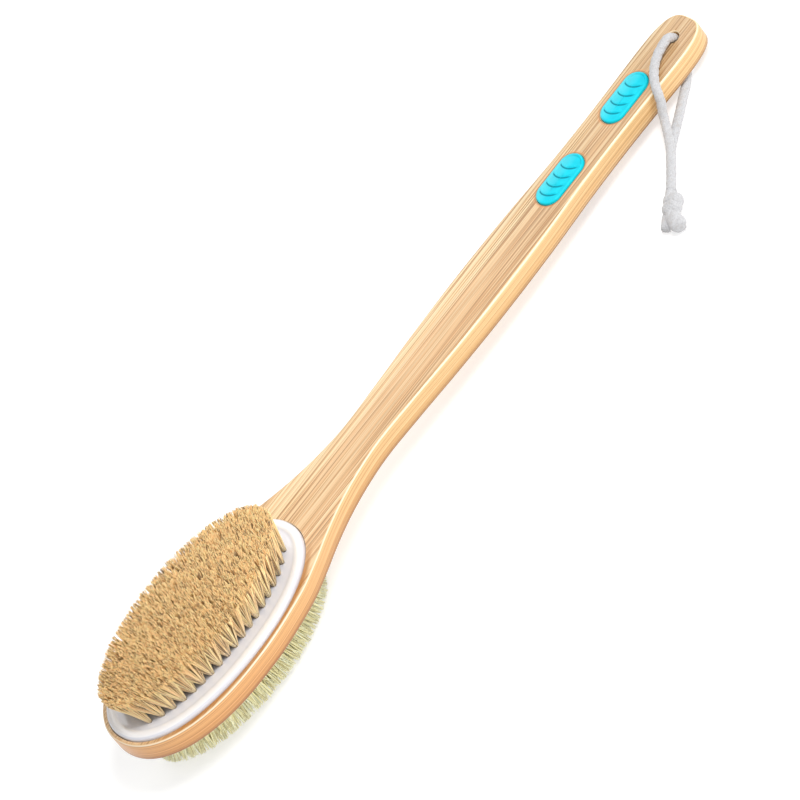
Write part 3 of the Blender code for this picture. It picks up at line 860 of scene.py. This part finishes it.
# ---------------------------------------------------------------- cord
# The route from the hole's centre on the front face, across and along, and up from the surface
FRONT_ROUTE = (
    (-0.0006, 0.0004, 0.0115),
    (-0.0004, 0.0004, 0.0140),
    (0.0005, -0.0006, 0.0176),
    (0.0012, -0.0032, 0.0200),
    (0.0017, -0.0068, 0.0205),
    (0.0024, -0.0113, 0.0203),
    (0.0046, -0.0164, 0.0203),
    (0.0082, -0.0212, 0.0205),
    (0.0120, -0.0248, 0.0206),
    (0.0152, -0.0278, 0.0188),
    (0.0163, -0.0299, 0.0148),
    (0.0165, -0.0322, 0.0110),
    (0.0176, -0.0342, 0.0083),
    (0.0203, -0.0365, 0.0077),
    (0.0241, -0.0396, 0.0074),
    (0.0282, -0.0433, 0.0070),
    (0.0324, -0.0474, 0.0067),
    (0.0366, -0.0520, 0.0067),
    (0.0407, -0.0568, 0.0067),
    (0.0438, -0.0608, 0.0067),
    (0.0462, -0.0638, 0.0069),
)
REAR_ROUTE = (
    (-0.0006, 0.0004, 0.0104),
    (-0.0005, 0.0003, 0.0084),
    (0.0003, -0.0007, 0.0053),
    (0.0022, -0.0027, 0.0030),
    (0.0053, -0.0061, 0.0025),
    (0.0089, -0.0105, 0.0025),
    (0.0113, -0.0141, 0.0025),
    (0.0132, -0.0178, 0.0025),
    (0.0155, -0.0221, 0.0025),
    (0.0182, -0.0272, 0.0025),
    (0.0208, -0.0322, 0.0025),
    (0.0233, -0.0372, 0.0025),
    (0.0258, -0.0420, 0.0025),
    (0.0286, -0.0464, 0.0024),
    (0.0326, -0.0510, 0.0024),
    (0.0367, -0.0558, 0.0024),
    (0.0409, -0.0606, 0.0024),
    (0.0446, -0.0646, 0.0025),
)
KNOT_AT = (0.0500, -0.0684, 0.0050)
ROUTE_STEP = 0.0004
TAIL_HAIRS = 260
TAILS = {  # each end's route, and its radius at each of those points
    "cord_tail_long": (
        (
            (0.0503, -0.0698, 0.0047),
            (0.0524, -0.0720, 0.0046),
            (0.0556, -0.0740, 0.0045),
            (0.0590, -0.0756, 0.0044),
            (0.0622, -0.0773, 0.0044),
        ),
        (0.0026, 0.0031, 0.0039, 0.0043, 0.0040),
    ),
    "cord_tail_short": (
        (
            (0.0501, -0.0702, 0.0040),
            (0.0508, -0.0728, 0.0034),
            (0.0519, -0.0756, 0.0032),
            (0.0533, -0.0785, 0.0030),
            (0.0548, -0.0810, 0.0029),
        ),
        (0.0028, 0.0029, 0.0028, 0.0027, 0.0026),
    ),
}


def smooth_route(points, step):
    """Points spaced by step along a smooth curve through the route."""
    knots = [Vector(p) for p in points]
    knots = [2 * knots[0] - knots[1]] + knots + [2 * knots[-1] - knots[-2]]
    dense = []
    for i in range(1, len(knots) - 2):
        a, b, c, d = knots[i - 1 : i + 3]
        for k in range(16):
            t = k / 16
            pull = (c - a) * t + (2 * a - 5 * b + 4 * c - d) * t**2 + (3 * b - a - 3 * c + d) * t**3
            dense.append(b + pull / 2)
    dense.append(knots[-2])
    lengths = [0.0]
    for a, b in zip(dense, dense[1:]):
        lengths.append(lengths[-1] + (b - a).length)
    count = max(round(lengths[-1] / step), 2)
    picked = []
    i = 0
    for k in range(count + 1):
        target = lengths[-1] * k / count
        while i < len(dense) - 2 and lengths[i + 1] < target:
            i += 1
        share = (target - lengths[i]) / (lengths[i + 1] - lengths[i])
        picked.append(dense[i].lerp(dense[i + 1], share))
    return picked


def from_hole(route):
    """The route's points in the world, whose heights are already from the surface."""
    hole = PLACE @ Vector((0.0, HOLE_Y, HALF))
    return [Vector((hole.x + x, hole.y + y, z)) for x, y, z in route]


def laid_tube(name, points, radii, lay=0.012, depth=0.13, phase=0.0):
    """A tube round the points whose three lobes wind along it, as laid rope has."""
    sides = 36
    verts, faces = [], []
    normal = (points[1] - points[0]).orthogonal().normalized()
    walked = 0.0
    for i, point in enumerate(points):
        ahead = points[min(i + 1, len(points) - 1)] - points[max(i - 1, 0)]
        ahead.normalize()
        normal = (normal - ahead * normal.dot(ahead)).normalized()
        across = ahead.cross(normal)
        if i:
            walked += (point - points[i - 1]).length
        twist = 2 * math.pi * walked / lay + phase
        for k in range(sides):
            angle = 2 * math.pi * k / sides
            lobe = abs(math.sin((angle - twist) * 1.5))
            yarn = 0.022 * math.sin(9 * (angle + twist * 2.2))
            size = radii[i] * (1 - depth * (1 - lobe) ** 1.6 + yarn)
            verts.append(point + (normal * math.cos(angle) + across * math.sin(angle)) * size)
    for i in range(len(points) - 1):
        for k in range(sides):
            a = i * sides + k
            b = i * sides + (k + 1) % sides
            faces.append((a, b, b + sides, a + sides))
    faces.append(tuple(range(sides - 1, -1, -1)))
    faces.append(tuple((len(points) - 1) * sides + k for k in range(sides)))
    mesh = bpy.data.meshes.new(name)
    mesh.from_pydata(verts, [], faces)
    return mesh


def one_skin(meshes, name, voxel, rounds):
    """The meshes joined into one body under a single, slightly softened skin."""
    bm = bmesh.new()
    for mesh in meshes:
        bm.from_mesh(mesh)
    whole = bpy.data.meshes.new(name)
    bm.to_mesh(whole)
    bm.free()

    def setup(obj):
        remesh = obj.modifiers.new("skin", "REMESH")
        remesh.mode = "VOXEL"
        remesh.voxel_size = voxel
        soften = obj.modifiers.new("soften", "SMOOTH")
        soften.factor = 0.5
        soften.iterations = rounds

    return with_modifiers(whole, name, setup)


def lobe(start, end, size, phase):
    """A short rounded length of the laid rope."""
    span = (end - start).length
    points, radii = [], []
    steps = 30
    for i in range(steps + 1):
        along = -size * 0.98 + (span + size * 1.96) * i / steps
        past = max(-along, along - span, 0.0) / size
        points.append(start + (end - start) * (along / span))
        radii.append(size * math.sqrt(1 - past**2))
    return laid_tube("lobe", points, radii, 0.0085, 0.07, phase)


def knot_mesh():
    """The knot's outer shape, not its real crossings: two fat lobes over the strands' cores."""
    middle = from_hole((KNOT_AT,))[0]
    line = middle - from_hole((FRONT_ROUTE[-1],))[0]
    line.z = 0.0
    line.normalize()
    up = Vector((0.0, 0.0, 1.0))
    side = line.cross(up).normalized()

    def spot(along, across, height):
        return middle + line * along + side * across + up * height

    parts = [
        lobe(spot(-0.0014, 0.0008, 0.0), spot(-0.0008, -0.0021, 0.0004), 0.0037, 0.0),
        lobe(spot(0.0029, 0.0013, -0.0002), spot(0.0022, -0.0009, 0.0), 0.0038, 1.0),
    ]
    for route, sign in ((FRONT_ROUTE, 1), (REAR_ROUTE, -1)):
        start = from_hole((route[-2],))[0]
        end = middle + side * 0.001 * sign + up * 0.0008 * sign
        core = [start.lerp(end, t / 12) for t in range(13)]
        radii = [0.0019 + 0.0010 * t / 12 for t in range(13)]
        parts.append(laid_tube("core", core, radii, depth=0.05))
    return one_skin(parts, "cord_knot_tied", 0.0002, 4)


def tail_mesh(name, route, radii, chance):
    """A cut end whose yarns have opened out into a soft, blunt brush of cotton."""
    points = smooth_route(from_hole(route), ROUTE_STEP)
    last = len(points) - 1
    end_round = 0.0022
    sizes = []
    for i in range(len(points)):
        at = i / last * (len(radii) - 1)
        k = min(int(at), len(radii) - 2)
        size = radii[k] + (radii[k + 1] - radii[k]) * (at - k)
        left = (last - i) * ROUTE_STEP
        if left < end_round:
            size *= 0.45 + 0.55 * math.sqrt(max(1 - (1 - left / end_round) ** 2, 0.0))
        sizes.append(size)
    skin = one_skin([laid_tube("tail", points, sizes, 0.02, 0.16)], name, 0.00022, 3)
    verts = [vertex.co.copy() for vertex in skin.vertices]
    faces = [tuple(polygon.vertices) for polygon in skin.polygons]
    ahead = (points[-1] - points[-4]).normalized()
    normal = ahead.orthogonal().normalized()
    across = ahead.cross(normal)
    for _ in range(TAIL_HAIRS):
        turn = chance.uniform(0, 2 * math.pi)
        out = math.sqrt(chance.random())
        ring = normal * math.cos(turn) + across * math.sin(turn)
        back = chance.uniform(0.0, 0.0014)
        foot = points[-1] - ahead * (0.0008 + back) + ring * radii[-1] * out * 0.8
        tip = foot + ahead * chance.uniform(0.0008, 0.0018) * (1.1 - 0.5 * out) + ring * 0.0002
        tip.z = max(tip.z, 0.0003)
        foot.z = max(foot.z, 0.0003)
        hair(verts, faces, foot, tip, ring * 0.0001, 0.00009)
    mesh = bpy.data.meshes.new(name)
    mesh.from_pydata(verts, [], faces)
    return mesh


def cords(finish):
    """The knot, the two ends past it and the two strands, placed in the world."""
    still = Matrix.Identity(4)
    knot = piece("cord_knot_tied", knot_mesh(), finish, still, 180)
    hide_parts("cord_knot")
    on_it = [knot]
    for node, (route, radii) in TAILS.items():
        name = node + "_end"
        mesh = tail_mesh(name, route, radii, random.Random(len(node)))
        made = piece(name, mesh, finish, still, 180)
        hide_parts(node)
        on_it.append(made)
    routes = (
        ("cord_front_strand", FRONT_ROUTE, on_it, 0.0),
        ("cord_rear_strand", REAR_ROUTE, [], 1.0),
    )
    for node, route, with_pieces, phase in routes:
        points = smooth_route(from_hole(route), ROUTE_STEP)
        name = node.replace("strand", "rope")
        mesh = laid_tube(name, points, [CORD_RADIUS] * len(points), phase=phase)
        made = piece(name, mesh, finish, still, 180)
        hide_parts(node)


# ---------------------------------------------------------------- surroundings
def floor_and_light():
    """A pale floor under three soft lamps and an even white sky."""
    bm = bmesh.new()
    bmesh.ops.create_grid(bm, x_segments=1, y_segments=1, size=6.0)
    floor = bpy.data.objects.new("floor", mesh_of(bm, "floor"))
    bpy.context.scene.collection.objects.link(floor)
    floor.location = (0.0, 0.0, -0.0004)
    s = Shader("floor_pale")
    cloud = s.noise((3, 3, 3), 1.0)
    pale = s.ramp(cloud, (0.3, (0.58, 0.58, 0.58)), (0.7, (0.59, 0.59, 0.59)))
    s.set(Base_Color=pale, Roughness=0.9, Emission_Strength=0.56)
    s.bsdf.inputs["Emission Color"].default_value = (1.0, 1.0, 1.0, 1.0)
    floor.data.materials.append(s.material)

    world = bpy.data.worlds.new("studio")
    bpy.context.scene.world = world
    world.use_nodes = True
    world.node_tree.nodes["Background"].inputs["Color"].default_value = (1.0, 1.0, 1.0, 1.0)
    world.node_tree.nodes["Background"].inputs["Strength"].default_value = 0.52

    middle = PLACE @ Vector((0.0, (HEAD_END + TIP_END) / 2, 0.0))
    lamps = (
        ("key", (0.9, 0.6, 2.1), 0.8, 34.0),
        ("side", (2.2, 0.9, 0.7), 1.0, 13.0),
        ("left", (-1.6, 0.8, 1.6), 1.4, 10.0),
    )
    for name, offset, size, power in lamps:
        data = bpy.data.lights.new(name, "AREA")
        data.shape = "SQUARE"
        data.size = size
        data.energy = power
        lamp = bpy.data.objects.new(name, data)
        bpy.context.scene.collection.objects.link(lamp)
        lamp.location = middle + Vector(offset)
        lamp.rotation_euler = (-Vector(offset)).to_track_quat("-Z", "Y").to_euler()
    bpy.context.scene.view_settings.view_transform = "Standard"
    bpy.context.scene.view_settings.look = "None"


def main():
    """Camera and rope first, then the board and all that sits in it."""
    camera()
    cords(cotton())
    board(bamboo())
    white = plate_white()
    tan = bristle(
        "bristle_tan",
        (1.00, 0.76, 0.44),
        (1.00, 0.68, 0.35),
        (1.00, 0.64, 0.29),
        (0.09, 0.035, 0.010),
        HALF + FRONT_TUFT_TOP,
    )
    cream = bristle(
        "bristle_cream",
        (1.00, 0.91, 0.46),
        (1.00, 0.92, 0.48),
        (1.00, 0.94, 0.56),
        (0.48, 0.40, 0.16),
        HALF + REAR_TUFT_TOP,
    )
    fields = (
        ("front", 1, FRONT_BASE_OVAL, FRONT_TIP_OVAL, FRONT_TUFT_TOP, tan, "bristle_tan"),
        ("rear", -1, REAR_BASE_OVAL, REAR_TIP_OVAL, REAR_TUFT_TOP, cream, "bristle_cream"),
    )
    for label, side, base, tip, top, finish, slot in fields:
        rows = tuft_places(base, tip)
        bristle_plate(f"{label}_plate_moulded", side, rows, white, f"{label}_bristle_plate")
        field = {
            "side": side,
            "base": base,
            "tip": tip,
            "top": top,
            "finish": finish,
            "slot": slot,
        }
        tuft_field(label, rows, field)
    rubber = grip_rubber()
    grip_pad("upper_pad_moulded", PAD_YS[0], rubber, "upper_grip_pad")
    grip_pad("lower_pad_moulded", PAD_YS[1], rubber, "lower_grip_pad")
    floor_and_light()


main()
